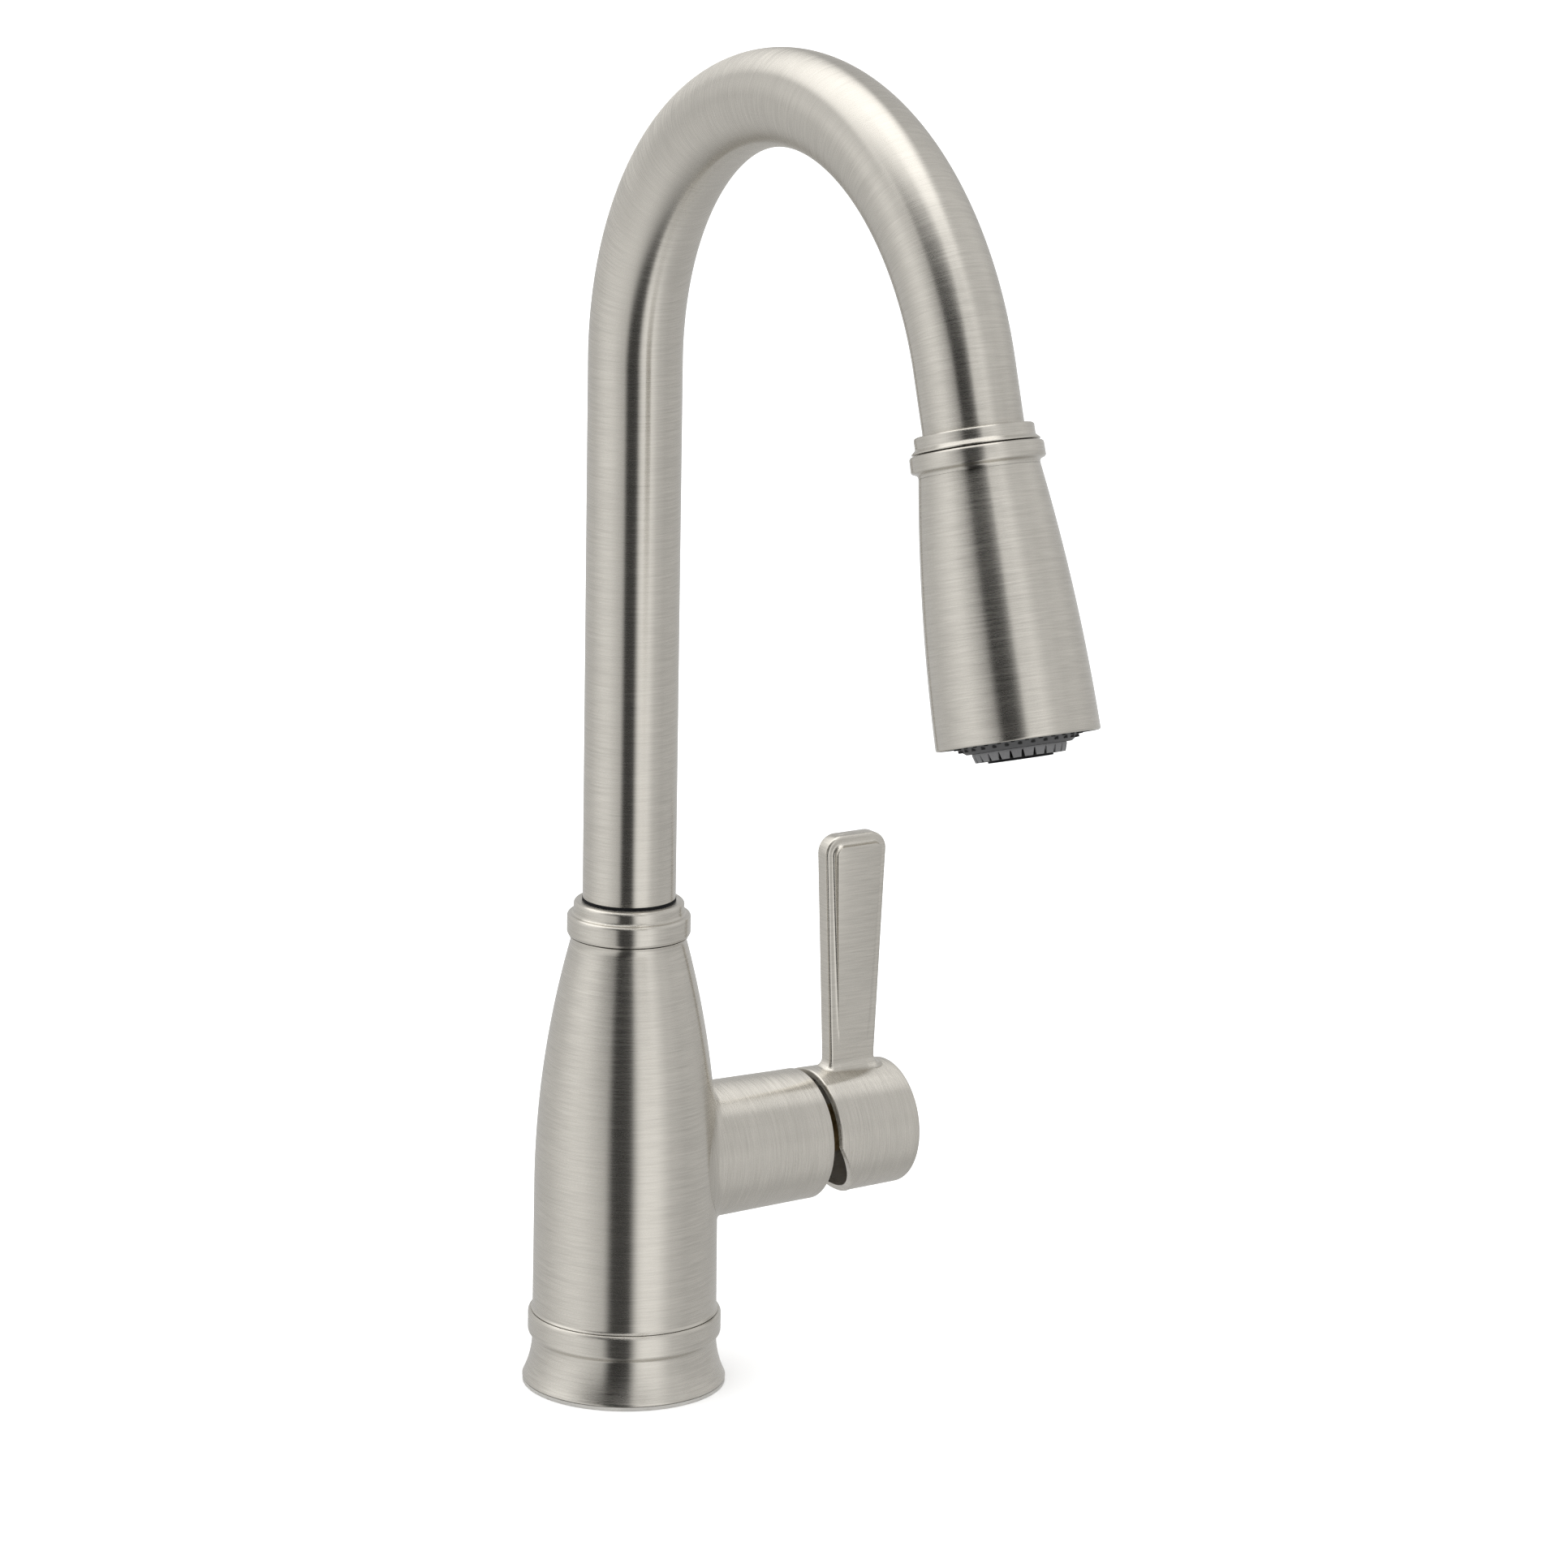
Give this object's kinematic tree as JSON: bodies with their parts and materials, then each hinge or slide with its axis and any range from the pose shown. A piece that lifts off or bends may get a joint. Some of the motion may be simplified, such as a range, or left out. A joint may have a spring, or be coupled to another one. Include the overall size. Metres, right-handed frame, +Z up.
{
  "type": "pull down kitchen faucet",
  "caption": "High-arc pull down kitchen faucet with a bottle shaped body, swivelling gooseneck spout, flared spray wand and a side lever.",
  "frame": {"origin": "centre of the base on the deck plane", "axes": "+Z up along the riser, -Y towards the user along the spout's reach, +X along the lever's hub"},
  "size_m": [0.1185, 0.2412, 0.4689],
  "materials": {
    "brushed_nickel": "warm brushed nickel, fine circumferential brush lines",
    "cast_brass": "machined brass",
    "plain_steel": "plain turned steel",
    "dark_plastic": "moulded black plastic",
    "grey_plastic": "moulded dark grey plastic",
    "pale_plastic": "pale moulded gasket",
    "seal_rubber": "matt rubber",
    "hose_braid": "grey braided nylon hose"
  },
  "bodies": {
    "base": {"deck_gasket": "pale_plastic", "base_ring": "brushed_nickel", "body_shell": "brushed_nickel", "collar": "brushed_nickel", "glide_washer": "dark_plastic", "valve_body": "cast_brass", "seal_rings": "seal_rubber", "retaining_clip": "plain_steel", "cartridge": "dark_plastic", "bonnet_nut": "plain_steel", "threaded_shank": "plain_steel", "shank_washer": "seal_rubber", "lock_washer": "plain_steel", "mounting_nut": "cast_brass", "supply_stubs": "cast_brass"},
    "spout": {"spout_tube": "brushed_nickel", "riser_insert": "cast_brass", "spout_bushing": "dark_plastic", "tip_sleeve": "brushed_nickel", "dock_sleeve": "dark_plastic", "dock_magnet": "plain_steel", "spray_hose": "hose_braid"},
    "wand": {"wand_ring": "brushed_nickel", "wand_shell": "brushed_nickel", "wand_insert": "dark_plastic", "keeper_ring": "plain_steel", "hose_connector": "cast_brass", "inlet_washer": "seal_rubber", "check_valve": "dark_plastic", "spray_face": "grey_plastic", "spray_nozzles": "seal_rubber"},
    "selector": {"selector_ring": "grey_plastic", "diverter_disc": "dark_plastic", "aerator": "dark_plastic"},
    "temperature": {"rotor": "dark_plastic", "pivot_pin": "plain_steel"},
    "handle": {"stem": "plain_steel", "handle_adapter": "cast_brass", "set_screw": "plain_steel", "handle_cap": "brushed_nickel", "screw_cover": "brushed_nickel"}
  },
  "joints": [
    {"name": "spout_swivel", "type": "hinge", "parent": "base", "child": "spout", "pos_m": [0, 0, 0.12], "axis": [0, 0, 1], "continuous": true},
    {"name": "wand_pull", "type": "slide", "parent": "spout", "child": "wand", "axis": [0, -0.2957, -0.9553], "range_m": [0, 0.18], "stiffness_N_per_m": 4, "springref_m": -1},
    {"name": "spray_select", "type": "hinge", "parent": "wand", "child": "selector", "pos_m": [0, -0.19126, 0.23133], "axis": [0, -0.2957, -0.9553], "range_deg": [0, 60]},
    {"name": "handle_temperature", "type": "hinge", "parent": "base", "child": "temperature", "pos_m": [0.047, 0, 0.065], "axis": [1, 0, 0], "range_deg": [-45, 45]},
    {"name": "handle_flow", "type": "hinge", "parent": "temperature", "child": "handle", "pos_m": [0.047, 0, 0.065], "axis": [0, 1, 0], "range_deg": [0, 24]}
  ]
}
